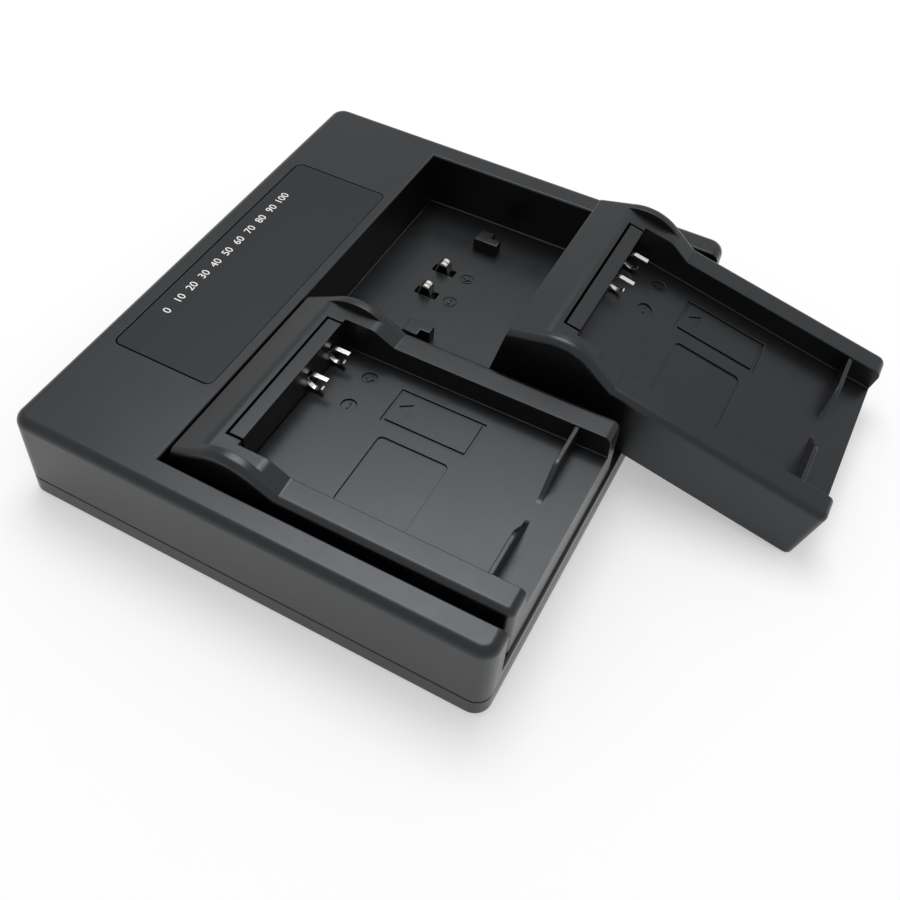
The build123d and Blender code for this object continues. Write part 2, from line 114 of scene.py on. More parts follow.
# Plated metal
STREAK_SIZE = 0.15 * MM
STREAK_SWING = 0.12
STREAK_DEPTH = 0.004 * MM
PATCH_SIZE = 2.5 * MM
PATCH_SWING = 0.06
PATCH_SHADE = 0.82

# Solder mask of the circuit board
MASK_GREEN = (0.012, 0.11, 0.045, 1)
MASK_ROUGHNESS = 0.35
MASK_DEPTH = 0.01 * MM
RUN_GREEN = (0.03, 0.2, 0.08, 1)
RUN_SPACING = 6 * MM
RUN_WIDTH = 0.04    # as a share of the spacing
WEAVE_SIZE = 0.4 * MM
WEAVE_SWING = 0.15
WEAVE_SHARE = 0.4   # of the relief; the copper runs are the rest

# Mesh work, with folds in degrees from flush
MERGE_DISTANCE = 0.002 * MM
FLUSH_FOLD = 0.6
CREASE_FOLD = 38.0    # sharper folds are shaded as creases
CORNER_FOLD = 60.0    # sharper folds are corners
NORMAL_WEIGHT = 80
NEAR = 0.05 * MM      # how close an edge lies to the face that picks it
ROUND_STEPS = 3
ARC_STEPS = 8
DISC_SIDES = 48
STRIP_SOFTNESS = 0.3  # corner of a strip's section, as a share of its thickness

# Battery plate, in its own frame: u across, v from the front edge back, w up
SEATED_LOW, SEATED_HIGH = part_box("left_plate_body")
PLATE_HALF = (SEATED_HIGH.x - SEATED_LOW.x) / 2
PLATE_LENGTH = SEATED_HIGH.y - SEATED_LOW.y
PLATE_SKIN = 0.6 * MM
PLATE_FLOOR = 8.8 * MM
FLOOR_BAND = 0.4 * MM
POCKET_HALF = 17.75 * MM
HOLDER_FRONT = 54.7 * MM
LOOSE_REACH = 35.1 * MM
RIB_FOOT = 2.0 * MM
RIB_KNEE = 9.35 * MM
RIB_TOP = 13.3 * MM
RIB_CUTS = 13

# Where the plate's edges are looked for, and the folds that pick them
EAR_FRONT = 43.8 * MM
EAR_LOW = 12.0 * MM
EAR_DEPTH = 1.2 * MM
EAR_FOLDS = (30.0, 60.0)
HEAD_LOW = 12.5 * MM
HEAD_FOLDS = (20.0, 35.0)
PLATE_FOLD = 62.0
MARK_SPAN = (8.0 * MM, 53.0 * MM)
MARK_MARGIN = 0.3 * MM
FOOT_MARGIN = 0.5 * MM

# Signs and marks, with the plate's places in u and v
SIGN_PLACES = ((5.0 * MM, 46.4 * MM, "minus"), (12.8 * MM, 46.4 * MM, "plus"))
DISC_RADIUS = 1.5 * MM
DISC_DEPTH = 0.38 * MM
SIGN_LENGTH = 1.6 * MM
SIGN_WIDTH = 0.42 * MM
SIGN_RISE = 0.22 * MM
SIGN_SINK = 0.05 * MM
ARROW_CORNERS = ((9.5 * MM, 38.2 * MM), (7.8 * MM, 35.8 * MM), (11.1 * MM, 35.9 * MM))
ARROW_DEPTH = 0.3 * MM

# Base
BASE_LOW, BASE_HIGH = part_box("top_shell")
BASE_TOP = BASE_HIGH.z
BAY_FLOOR = 8.1 * MM
BAY_PITCH = 51.3 * MM
BAY_SIGN_Y = -0.55 * MM
BAY_RING_WIDTH = 0.24 * MM
BAY_RING_DEPTH = 0.22 * MM
RECESS_HALF = 50.75 * MM
RECESS_BACK = 19.2 * MM
HOOK_TOP = 11.0 * MM

# Where the base's edges are looked for, and the folds that pick them
RIM_BAND = 0.5 * MM
RIM_FOLDS = (20.0, 120.0)
FRONT_BAND = 0.1 * MM
FRONT_HEIGHTS = (5.2 * MM, 18.5 * MM)
BOTTOM_BAND = 1.0 * MM
BOTTOM_HEIGHT = 4.6 * MM
BOTTOM_FOLD = 30.0

# Edge roundings
EAR_ROUND = 0.6 * MM
EAR_STEPS = 4
CREST_ROUND = 0.9 * MM
CREST_STEPS = 5
VALLEY_ROUND = 0.3 * MM
PLATE_ROUND = 0.18 * MM
MARK_ROUND = 0.1 * MM
POCKET_FOOT_ROUND = 0.18 * MM
HOLDER_ROUND = 0.15 * MM
CLIP_ROUND = 0.06 * MM
SIGN_ROUND = 0.09 * MM
RING_ROUND = 0.05 * MM
RECESS_FOOT_ROUND = 0.35 * MM
RECESS_FOOT_STEPS = 4
HOOK_ROUND = 0.3 * MM
RIM_ROUND = 0.12 * MM
FRONT_ROUND = 0.25 * MM
BOTTOM_ROUND = 0.15 * MM
PANEL_ROUND = 0.1 * MM

# Spring leaf of a bay: its line in y and z, from the foot over the crest to the tip
LEAF_LINE = ((-0.95 * MM, 4.55 * MM), (2.55 * MM, 4.55 * MM), (4.25 * MM, 10.65 * MM),
             (5.95 * MM, 10.65 * MM), (7.0 * MM, 7.3 * MM))
LEAF_RADII = (0.6 * MM, 1.1 * MM, 1.1 * MM)
LEAF_HALF_WIDTH = 0.9 * MM
LEAF_SLIT = 0.2 * MM
LEAF_THICKNESS = 0.3 * MM
LEAF_PITCH = 8.2 * MM
LEAF_MIDDLE = 0.6 * MM

# Battery clip: the middle of its bend in the plate's frame, and its curl in degrees
CLIP_BEND = (53.5 * MM, 11.1 * MM)
CLIP_RADIUS = 1.75 * MM
CLIP_CURL = (-80.0, -150.0)
CLIP_CURL_STEPS = 12
CLIP_WIDTH = 1.0 * MM
CLIP_THICKNESS = 0.35 * MM
LEG_OVERCUT = 0.05 * MM

# Display panel and the numbers on it
PANEL_PUSH = 0.2 * MM
NUMBERS = tuple(str(value) for value in range(0, 101, 10))
NUMBER_HEIGHT = 1.7 * MM
NUMBER_Y = 39.2 * MM
NUMBER_SPAN = (-20.5 * MM, 20.0 * MM)
PRINT_DEPTH = 0.012 * MM
CAPITAL_SHARE = 0.69   # height of a numeral for a text size of 1


# Shader sockets as values in expressions

class Value:
    """A shader socket: arithmetic on it adds Math nodes, and node() adds any other node."""

    def __init__(self, tree, socket):
        self.tree = tree
        self.socket = socket

    def node(self, kind, settings=None, inputs=None, output=0):
        """Adds a node to the socket's tree."""
        return add_node(self.tree, kind, settings, inputs, output)

    def math(self, operation, *values):
        """Adds a Math node."""
        return self.node("ShaderNodeMath", {"operation": operation}, dict(enumerate(values)))

    def __add__(self, other):
        return self.math("ADD", self, other)

    def __radd__(self, other):
        return self.math("ADD", other, self)

    def __sub__(self, other):
        return self.math("SUBTRACT", self, other)

    def __rsub__(self, other):
        return self.math("SUBTRACT", other, self)

    def __mul__(self, other):
        return self.math("MULTIPLY", self, other)

    def __rmul__(self, other):
        return self.math("MULTIPLY", other, self)

    def __gt__(self, other):
        return self.math("GREATER_THAN", self, other)

    def __lt__(self, other):
        return self.math("LESS_THAN", self, other)


def add_node(tree, kind, settings=None, inputs=None, output=0):
    """Adds a node, sets it up, fills or links its inputs, and gives one output as a Value."""
    made = tree.nodes.new(kind)
    for name, value in (settings or {}).items():
        setattr(made, name, value)
    for key, value in (inputs or {}).items():
        if isinstance(value, Value):
            tree.links.new(value.socket, made.inputs[key])
        else:
            made.inputs[key].default_value = value
    return Value(tree, made.outputs[output])


class Finish:
    """A material with one Principled shader and Object coordinates to draw patterns on."""

    def __init__(self, name, constants):
        self.material = bpy.data.materials.new(name)
        self.material.use_nodes = True
        self.tree = self.material.node_tree
        self.shader = self.tree.nodes["Principled BSDF"]
        self.place = add_node(self.tree, "ShaderNodeTexCoord", output="Object")
        for socket, value in constants.items():
            self.shader.inputs[socket].default_value = value

    def set(self, name, value):
        """Links a varying value to one of the shader's sockets."""
        self.tree.links.new(value.socket, self.shader.inputs[name])

    def noise(self, size, detail=2.0, stretch=None):
        """Noise from 0 to 1 with features of about this size, in metres."""
        place = self.place
        if stretch is not None:
            place = place.node("ShaderNodeMapping", {}, {"Vector": place, "Scale": stretch})
        inputs = {"Vector": place, "Scale": 1 / size, "Detail": detail}
        return place.node("ShaderNodeTexNoise", {}, inputs)

    def cells(self, size, output):
        """Cell pattern: the distance to each cell's point, or its random colour."""
        inputs = {"Vector": self.place, "Scale": 1 / size}
        return self.place.node("ShaderNodeTexVoronoi", {}, inputs, output)

    def blend(self, share, first, second):
        """Colour between two colours, either of which may be a socket."""
        inputs = {0: share, MIX_FIRST: first, MIX_SECOND: second}
        return share.node("ShaderNodeMix", {"data_type": "RGBA"}, inputs, MIX_RESULT)

    def bump(self, height, depth):
        """Relief of this depth in metres on the shader's normal."""
        inputs = {"Height": height, "Distance": depth, "Strength": 1.0}
        self.set("Normal", height.node("ShaderNodeBump", {}, inputs))


def grey(level, blue=1.0):
    """Linear colour of one grey level, with its blue scaled."""
    return (level, level, level * blue, 1)


# Finishes

def dust_specks(finish):
    """1 on a few scattered specks of dust and 0 elsewhere."""
    at_point = finish.cells(DUST_SPACING, "Distance") < DUST_RADIUS
    color = finish.cells(DUST_SPACING, "Color")
    pick = color.node("ShaderNodeSeparateColor", {}, {0: color})
    return at_point * (pick > DUST_CLEAN)


def moulded_black(name, level, roughness, grain_depth):
    """Black moulded plastic with a fine spark texture, cloudy gloss and a few specks of dust."""
    gloss = {"IOR": PLASTIC_IOR, "Specular IOR Level": PLASTIC_GLOSS, "Specular Tint": PLASTIC_TINT}
    finish = Finish(name, gloss)
    cloud = finish.noise(CLOUD_SIZE, CLOUD_DETAIL)
    mottle = finish.noise(MOTTLE_SIZE)
    grain = finish.noise(GRAIN_SIZE)
    fine = finish.noise(FINE_SIZE, detail=1.0)
    dust = dust_specks(finish)
    darker = grey(level * (1 - PLASTIC_SPREAD), PLASTIC_BLUE)
    lighter = grey(level * (1 + PLASTIC_SPREAD), PLASTIC_BLUE)
    body = finish.blend(cloud, darker, lighter)
    finish.set("Base Color", finish.blend(dust, body, grey(DUST_GREY)))
    swing = cloud * CLOUD_SWING + mottle * MOTTLE_SWING + grain * GRAIN_SWING
    least = roughness - (CLOUD_SWING + MOTTLE_SWING + GRAIN_SWING) / 2
    finish.set("Roughness", swing + least + dust * DUST_SWING)
    finish.bump(grain * GRAIN_SHARE + fine * (1 - GRAIN_SHARE), grain_depth)
    return finish.material


def panel_film(name):
    """Smooth dark overlay of the display panel."""
    gloss = {"IOR": PLASTIC_IOR, "Specular IOR Level": FILM_GLOSS, "Specular Tint": PLASTIC_TINT}
    finish = Finish(name, gloss)
    cloud = finish.noise(FILM_CLOUD_SIZE)
    pebble = finish.noise(PEBBLE_SIZE, detail=1.0)
    darker, lighter = (grey(level, FILM_BLUE) for level in FILM_GREYS)
    finish.set("Base Color", finish.blend(cloud, darker, lighter))
    finish.set("Roughness", cloud * FILM_CLOUD_SWING + pebble * PEBBLE_SWING + FILM_ROUGHNESS)
    finish.bump(pebble, PEBBLE_DEPTH)
    return finish.material


def white_print(name):
    """White screen print with slightly uneven cover."""
    finish = Finish(name, {"IOR": INK_IOR})
    cover = finish.noise(INK_COVER_SIZE)
    darker, lighter = (grey(level) for level in INK_GREYS)
    finish.set("Base Color", finish.blend(cover, darker, lighter))
    finish.set("Roughness", cover * INK_COVER_SWING + INK_ROUGHNESS)
    return finish.material


def plated_metal(name, color, roughness, streak):
    """Plated or drawn metal with fine rolling streaks."""
    finish = Finish(name, {"Metallic": 1.0})
    lines = finish.noise(STREAK_SIZE, stretch=streak)
    patch = finish.noise(PATCH_SIZE)
    worn = tuple(PATCH_SHADE * channel for channel in color)
    finish.set("Base Color", finish.blend(patch, (*color, 1), (*worn, 1)))
    finish.set("Roughness", lines * STREAK_SWING + patch * PATCH_SWING + roughness)
    finish.bump(lines, STREAK_DEPTH)
    return finish.material


def solder_mask(name):
    """Green circuit board with lighter copper runs under the mask."""
    finish = Finish(name, {"IOR": PLASTIC_IOR})
    brick_inputs = {
        "Vector": finish.place,
        "Scale": 1 / RUN_SPACING,
        "Mortar Size": RUN_WIDTH,
        "Color1": grey(0.0),
        "Color2": grey(0.0),
        "Mortar": grey(1.0),
    }
    runs = finish.place.node("ShaderNodeTexBrick", {}, brick_inputs, "Fac")
    weave = finish.noise(WEAVE_SIZE)
    finish.set("Base Color", finish.blend(runs, MASK_GREEN, RUN_GREEN))
    finish.set("Roughness", weave * WEAVE_SWING + MASK_ROUGHNESS)
    finish.bump(weave * WEAVE_SHARE + runs * (1 - WEAVE_SHARE), MASK_DEPTH)
    return finish.material


def floor_white(name):
    """Matt white table, shown part way to plain white with its shadows kept."""
    finish = Finish(name, {"Roughness": 1.0, "Specular IOR Level": 0.0})
    cloud = finish.noise(FLOOR_CLOUD)
    finish.set("Base Color", finish.blend(cloud, grey(FLOOR_WHITE), grey(FLOOR_WHITE - FLOOR_SPREAD)))
    camera_ray, glossy_ray, clear_ray = (
        add_node(finish.tree, "ShaderNodeLightPath", output=ray)
        for ray in ("Is Camera Ray", "Is Glossy Ray", "Is Transmission Ray")
    )
    share = (camera_ray + glossy_ray + clear_ray) * FLOOR_LIFT
    glow = share.node("ShaderNodeEmission", {}, {"Color": grey(1.0), "Strength": 1.0})
    matt = Value(finish.tree, finish.shader.outputs[0])
    shown = share.node("ShaderNodeMixShader", {}, {0: share, 1: matt, 2: glow})
    finish.tree.links.new(shown.socket, finish.tree.nodes["Material Output"].inputs["Surface"])
    return finish.material


# Objects and meshes

def linked(name, data):
    """New object with this data, in the scene."""
    made = bpy.data.objects.new(name, data)
    bpy.context.scene.collection.objects.link(made)
    return made


def new_object(name, mesh):
    """Turns a bmesh into an object in the scene."""
    data = bpy.data.meshes.new(name)
    mesh.to_mesh(data)
    mesh.free()
    return linked(name, data)


def taken_mesh(maker):
    """Plain mesh of an object with its modifiers applied. The object is removed."""
    graph = bpy.context.evaluated_depsgraph_get()
    data = bpy.data.meshes.new_from_object(maker.evaluated_get(graph))
    bpy.data.objects.remove(maker)
    return data


def add_mesh(mesh, other):
    """Adds one bmesh to another."""
    data = bpy.data.meshes.new("added")
    other.to_mesh(data)
    other.free()
    mesh.from_mesh(data)
    bpy.data.meshes.remove(data)


def join_flush(mesh):
    """Joins faces that lie flush."""
    limit = math.radians(FLUSH_FOLD)
    bmesh.ops.dissolve_limit(mesh, angle_limit=limit, verts=mesh.verts, edges=mesh.edges)


def merged_copy(node):
    """The node's mesh as one connected surface with flat faces joined."""
    mesh = bmesh.new()
    mesh.from_mesh(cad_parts[node].data)
    bmesh.ops.remove_doubles(mesh, verts=mesh.verts, dist=MERGE_DISTANCE)
    join_flush(mesh)
    return mesh


def cut(mesh, tools):
    """Cuts closed tool meshes out of a mesh."""
    body = new_object("cut_body", mesh)
    tool = new_object("cut_tool", tools)
    step = body.modifiers.new("cut", "BOOLEAN")
    step.operation = "DIFFERENCE"
    step.solver = "EXACT"
    step.object = tool
    made = bmesh.new()
    made.from_mesh(taken_mesh(body))
    bpy.data.objects.remove(tool)
    join_flush(made)
    return made


def shade(mesh):
    """Smooth shading with crisp creases."""
    for face in mesh.faces:
        face.smooth = True
    for edge in mesh.edges:
        edge.smooth = fold(edge) < CREASE_FOLD


def smooth_object(name, mesh):
    """Turns a bmesh into an object with crisp creases and flat faces that stay flat."""
    shade(mesh)
    piece = new_object(name, mesh)
    normals = piece.modifiers.new("normals", "WEIGHTED_NORMAL")
    normals.keep_sharp = True
    normals.weight = NORMAL_WEIGHT
    return piece


def dress(piece, material, body, slot, *nodes):
    """Gives a piece its finish and its body, and hides the nodes that it stands for. The slot is not used."""
    piece.data.materials.clear()
    piece.data.materials.append(material)
    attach(piece, body)
    if nodes:
        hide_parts(*nodes)


# Edges and how they are picked

def fold(edge):
    """Angle between an edge's two faces in degrees, 0 where they are flush."""
    if len(edge.link_faces) != 2:
        return 0.0
    return math.degrees(edge.calc_face_angle(0.0))


def middle(edge):
    """Middle point of an edge."""
    return (edge.verts[0].co + edge.verts[1].co) / 2


def near(value, place):
    """True where a measure is that of the place, within the tolerance."""
    return abs(value - place) < NEAR


def above(edge, height):
    """True where both ends of an edge lie above a height."""
    return all(vert.co.z > height for vert in edge.verts)


def outer_corner(edge):
    """True on a corner that stands out."""
    return fold(edge) > CORNER_FOLD and edge.is_convex


def inner_corner(edge):
    """True on a corner that goes in."""
    return fold(edge) > CORNER_FOLD and not edge.is_convex


def round_edges(mesh, width, chosen, steps=ROUND_STEPS):
    """Rounds the edges that chosen() picks."""
    edges = [edge for edge in mesh.edges if chosen(edge)]
    if edges:
        bmesh.ops.bevel(
            mesh,
            geom=edges,
            offset=width,
            offset_type="OFFSET",
            segments=steps,
            profile=0.5,
            affect="EDGES",
            clamp_overlap=False,
            loop_slide=True,
        )


# Forms

def prism(mesh, corners, low, high):
    """Closed prism on an outline given anticlockwise from above."""
    bottom = [mesh.verts.new((x, y, low)) for x, y in corners]
    top = [mesh.verts.new((x, y, high)) for x, y in corners]
    mesh.faces.new(list(reversed(bottom)))
    mesh.faces.new(top)
    count = len(corners)
    for i in range(count):
        after = (i + 1) % count
        mesh.faces.new((bottom[i], bottom[after], top[after], top[i]))


def rounded_line(points, radii):
    """A line through points in one plane whose inner corners are arcs."""
    line = [Vector(points[0])]
    for before, corner, after, radius in zip(points, points[1:], points[2:], radii):
        corner = Vector(corner)
        arm = (Vector(before) - corner).normalized()
        other = (Vector(after) - corner).normalized()
        half = arm.angle(other) / 2
        centre = corner + (arm + other).normalized() * radius / math.sin(half)
        spoke = corner + arm * radius / math.tan(half) - centre
        turn = math.copysign(math.pi - 2 * half, -arm.cross(other))
        for step in range(ARC_STEPS + 1):
            line.append(centre + Matrix.Rotation(turn * step / ARC_STEPS, 2) @ spoke)
    line.append(Vector(points[-1]))
    return line


def bent_strip(mesh, x, line, width, thickness):
    """Strip of soft-edged section along a line of (y, z) points at one x."""
    half = width / 2
    rise = thickness / 2
    edge = STRIP_SOFTNESS * thickness
    section = [(-half + edge, -rise), (half - edge, -rise), (half, -rise + edge), (half, rise - edge),
               (half - edge, rise), (-half + edge, rise), (-half, rise - edge), (-half, -rise + edge)]
    rings = []
    for i, (y, z) in enumerate(line):
        before = Vector(line[max(i - 1, 0)])
        after = Vector(line[min(i + 1, len(line) - 1)])
        along = (after - before).normalized()
        up = Vector((-along.y, along.x))
        rings.append([mesh.verts.new((x + u, y + up.x * w, z + up.y * w)) for u, w in section])
    count = len(section)
    for ring, following in zip(rings, rings[1:]):
        for i in range(count):
            j = (i + 1) % count
            mesh.faces.new((ring[i], ring[j], following[j], following[i]))
    mesh.faces.new(list(reversed(rings[0])))
    mesh.faces.new(rings[-1])
    bmesh.ops.recalc_face_normals(mesh, faces=mesh.faces)


def disc_corners(x, y, radius):
    """Outline of a disc, anticlockwise."""
    turns = [2 * math.pi * i / DISC_SIDES for i in range(DISC_SIDES)]
    return [(x + radius * math.cos(turn), y + radius * math.sin(turn)) for turn in turns]


def disc_tools(places, floor, depth):
    """Cutters of the sunk discs at the signs' places in a floor."""
    tools = bmesh.new()
    for x, y, _ in places:
        prism(tools, disc_corners(x, y, DISC_RADIUS), floor - depth, floor + depth)
    return tools


def sign_corners(x, y, kind):
    """Outline of a minus or plus sign, anticlockwise."""
    reach = SIGN_LENGTH / 2
    half = SIGN_WIDTH / 2
    if kind == "minus":
        corners = [(-reach, -half), (reach, -half), (reach, half), (-reach, half)]
    else:
        arm = [(half, half), (half, reach), (-half, reach)]
        corners = []
        for cos, sin in ((1, 0), (0, 1), (-1, 0), (0, -1)):
            corners += [(cos * u - sin * v, sin * u + cos * v) for u, v in arm]
    return [(x + u, y + v) for u, v in corners]


def raised_sign(mesh, x, y, low, kind):
    """Plus or minus sign with soft edges that stands on a disc at this height."""
    sign = bmesh.new()
    prism(sign, sign_corners(x, y, kind), low - SIGN_SINK, low + SIGN_RISE)
    round_edges(sign, SIGN_ROUND, lambda edge: above(edge, low))
    add_mesh(mesh, sign)


# Battery plates

def plate_place(name):
    """Frame of a plate, from the middle of its front bottom edge. The loose one leans on its bay's edge."""
    if name == "left":
        return Matrix.Translation(((SEATED_LOW.x + SEATED_HIGH.x) / 2, SEATED_LOW.y, SEATED_LOW.z))
    low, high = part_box("loose_plate_body")
    pitch = math.atan2(SEATED_LOW.z, LOOSE_REACH)
    edge = Vector(((low.x + high.x) / 2, BASE_LOW.y - LOOSE_REACH, 0))
    return Matrix.Translation(edge) @ Matrix.Rotation(pitch, 4, "X")


def plate_tools():
    """Cutters of the sunk sign discs and the arrow head in the pocket floor."""
    tools = disc_tools(SIGN_PLACES, PLATE_FLOOR, DISC_DEPTH)
    prism(tools, ARROW_CORNERS, PLATE_FLOOR - ARROW_DEPTH, PLATE_FLOOR + ARROW_DEPTH)
    return tools


def curve_ribs(mesh):
    """Gives the sloping ends of the stop ribs a soft double curve down to the pocket floor."""
    ends = (Vector((RIB_FOOT, PLATE_FLOOR)), Vector((RIB_KNEE, RIB_TOP)))

    def is_slope(edge):
        points = sorted((abs(vert.co.x), vert.co.z) for vert in edge.verts)
        return all((Vector(point) - end).length < NEAR for point, end in zip(points, ends))

    edges = [edge for edge in mesh.edges if is_slope(edge)]
    made = bmesh.ops.subdivide_edges(mesh, edges=edges, cuts=RIB_CUTS, use_grid_fill=True)
    for vert in made["geom_inner"]:
        if isinstance(vert, bmesh.types.BMVert):
            share = (abs(vert.co.x) - RIB_FOOT) / (RIB_KNEE - RIB_FOOT)
            vert.co.z = PLATE_FLOOR + (RIB_TOP - PLATE_FLOOR) * share * share * (3 - 2 * share)


def on_ear(edge):
    """Long edges of the two arched ears."""
    point = middle(edge)
    at_side = abs(point.x) > PLATE_HALF - EAR_DEPTH
    at_head = point.y > EAR_FRONT and point.z > EAR_LOW
    return at_side and at_head and EAR_FOLDS[0] < fold(edge) < EAR_FOLDS[1]


def on_crease(edge):
    """Shallow folds that run across the head."""
    across = near(edge.verts[0].co.y, edge.verts[1].co.y)
    return across and middle(edge).z > HEAD_LOW and HEAD_FOLDS[0] < fold(edge) < HEAD_FOLDS[1]


def on_plate_corner(edge):
    """Corners that stand out on the plate's outside and over its pocket, not in its hollow underside."""
    point = middle(edge)
    at_side = abs(point.x) > PLATE_HALF - PLATE_SKIN
    at_end = point.y < PLATE_SKIN or point.y > PLATE_LENGTH - PLATE_SKIN
    open_to_view = at_side or at_end or point.z > PLATE_FLOOR - FLOOR_BAND
    off_floor = abs(point.z - PLATE_FLOOR) >= FLOOR_BAND
    return open_to_view and off_floor and fold(edge) >= PLATE_FOLD and edge.is_convex


def on_mark(edge):
    """Rims of the discs, frames and arrow head in the pocket floor."""
    point = middle(edge)
    in_pocket = abs(point.x) < POCKET_HALF - MARK_MARGIN and MARK_SPAN[0] < point.y < MARK_SPAN[1]
    return in_pocket and near(point.z, PLATE_FLOOR) and fold(edge) > CORNER_FOLD


def at_pocket_foot(edge):
    """Corners between the pocket's walls and its floor."""
    point = middle(edge)
    at_wall = near(abs(point.x), POCKET_HALF) and point.y < HOLDER_FRONT - FOOT_MARGIN
    return at_wall and near(point.z, PLATE_FLOOR) and inner_corner(edge)


def plate_body(name, body, material):
    """Tray of a battery plate, with soft edges, curved stop ribs and signs."""
    place = plate_place(name)
    node = name + "_plate_body"
    mesh = merged_copy(node)
    mesh.transform(place.inverted())
    mesh = cut(mesh, plate_tools())
    curve_ribs(mesh)
    round_edges(mesh, EAR_ROUND, on_ear, EAR_STEPS)
    round_edges(mesh, CREST_ROUND, lambda edge: on_crease(edge) and edge.is_convex, CREST_STEPS)
    round_edges(mesh, VALLEY_ROUND, lambda edge: on_crease(edge) and not edge.is_convex)
    round_edges(mesh, PLATE_ROUND, on_plate_corner)
    round_edges(mesh, MARK_ROUND, on_mark)
    round_edges(mesh, POCKET_FOOT_ROUND, at_pocket_foot)
    for u, v, kind in SIGN_PLACES:
        raised_sign(mesh, u, v, PLATE_FLOOR - DISC_DEPTH, kind)
    mesh.transform(place)
    piece = smooth_object(name + "_plate_tray", mesh)
    dress(piece, material, body, "plate_black", node)


def contact_holder(name, body, material):
    """Cross strip that holds a plate's clips."""
    node = name + "_contact_holder"
    mesh = merged_copy(node)
    round_edges(mesh, HOLDER_ROUND, outer_corner)
    piece = smooth_object(name + "_holder_strip", mesh)
    dress(piece, material, body, "plate_black", node)


def clip_places():
    """Sideways places of the two clips in the plate's frame, read from the contacts' outer edges."""
    place = plate_place("left").inverted()
    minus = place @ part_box("left_contact_minus")[1]
    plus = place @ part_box("left_contact_plus")[1]
    return {"minus": minus.x - CLIP_WIDTH / 2, "plus": plus.x - CLIP_WIDTH / 2}


def clip_leg(x):
    """Cutter of a clip's straight lower leg, which its curl replaces."""
    leg = bmesh.new()
    front = CLIP_BEND[0] - 2 * CLIP_RADIUS
    back = CLIP_BEND[0] + LEG_OVERCUT
    low = CLIP_BEND[1] - CLIP_RADIUS - CLIP_THICKNESS
    left = x - CLIP_WIDTH
    right = x + CLIP_WIDTH
    corners = [(left, front), (right, front), (right, back), (left, back)]
    prism(leg, corners, low, CLIP_BEND[1] - CLIP_RADIUS / 2)
    return leg


def clip_curl(x):
    """Lower end of a clip, which carries the bend on and curls up."""
    curl = bmesh.new()
    start, end = CLIP_CURL
    line = []
    for step in range(CLIP_CURL_STEPS + 1):
        turn = math.radians(start + (end - start) * step / CLIP_CURL_STEPS)
        v = CLIP_BEND[0] + CLIP_RADIUS * math.cos(turn)
        w = CLIP_BEND[1] + CLIP_RADIUS * math.sin(turn)
        line.append((v, w))
    bent_strip(curl, x, line, CLIP_WIDTH, CLIP_THICKNESS)
    return curl


def battery_clips(name, body, material):
    """The two bent clips that touch the battery's contacts."""
    place = plate_place(name)
    for sign, x in clip_places().items():
        node = name + "_contact_" + sign
        mesh = merged_copy(node)
        mesh.transform(place.inverted())
        mesh = cut(mesh, clip_leg(x))
        round_edges(mesh, CLIP_ROUND, outer_corner)
        add_mesh(mesh, clip_curl(x))
        mesh.transform(place)
        piece = smooth_object(name + "_clip_" + sign, mesh)
        dress(piece, material, body, "contact_nickel", node)


# Base

def bay_sign_places():
    """Places and kinds of the signs on the bay floors."""
    places = []
    for bay in (-BAY_PITCH / 2, BAY_PITCH / 2):
        for side, kind in ((-1, "minus"), (1, "plus")):
            places.append((bay + LEAF_MIDDLE + side * LEAF_PITCH / 2, BAY_SIGN_Y, kind))
    return places


def inside_ring(mesh, x, y):
    """Level disc that leaves a ring groove in a sunk bay disc."""
    disc = bmesh.new()
    corners = disc_corners(x, y, DISC_RADIUS - BAY_RING_WIDTH)
    prism(disc, corners, BAY_FLOOR - BAY_RING_DEPTH - SIGN_SINK, BAY_FLOOR)
    round_edges(disc, RING_ROUND, lambda edge: above(edge, BAY_FLOOR - RING_ROUND))
    add_mesh(mesh, disc)


def at_recess_foot(edge):
    """Corners between the recess's walls and its floor."""
    point = middle(edge)
    at_wall = near(abs(point.x), RECESS_HALF) or near(point.y, RECESS_BACK)
    return at_wall and near(point.z, BAY_FLOOR) and inner_corner(edge)


def on_hook(edge):
    """Top edges of the hooks in the bays."""
    point = middle(edge)
    in_recess = abs(point.x) < RECESS_HALF + NEAR and point.y < RECESS_BACK + NEAR
    at_top = all(near(vert.co.z, HOOK_TOP) for vert in edge.verts)
    return in_recess and at_top and outer_corner(edge)


def on_rim(edge):
    """Sharp edges at the level of the deck."""
    at_top = middle(edge).z > BASE_TOP - RIM_BAND
    return at_top and RIM_FOLDS[0] < fold(edge) < RIM_FOLDS[1] and edge.is_convex


def on_front(edge):
    """Corners where the recess opens through the front wall."""
    point = middle(edge)
    at_front = point.y < BASE_LOW.y + FRONT_BAND and FRONT_HEIGHTS[0] < point.z < FRONT_HEIGHTS[1]
    return at_front and outer_corner(edge)


def top_housing(material):
    """Upper shell with soft edges and the ringed signs of its bays."""
    places = bay_sign_places()
    mesh = merged_copy("top_shell")
    mesh = cut(mesh, disc_tools(places, BAY_FLOOR, BAY_RING_DEPTH))
    round_edges(mesh, RECESS_FOOT_ROUND, at_recess_foot, RECESS_FOOT_STEPS)
    round_edges(mesh, HOOK_ROUND, on_hook)
    round_edges(mesh, RIM_ROUND, on_rim)
    round_edges(mesh, FRONT_ROUND, on_front)
    for x, y, kind in places:
        inside_ring(mesh, x, y)
        raised_sign(mesh, x, y, BAY_FLOOR, kind)
    piece = smooth_object("top_housing", mesh)
    dress(piece, material, "base", "shell_black", "top_shell")


def on_bottom(edge):
    """Outer edges of the lower shell, up to the seam."""
    point = middle(edge)
    outer = abs(point.x) > BASE_HIGH.x - BOTTOM_BAND or abs(point.y) > BASE_HIGH.y - BOTTOM_BAND
    return outer and point.z < BOTTOM_HEIGHT and fold(edge) > BOTTOM_FOLD and edge.is_convex


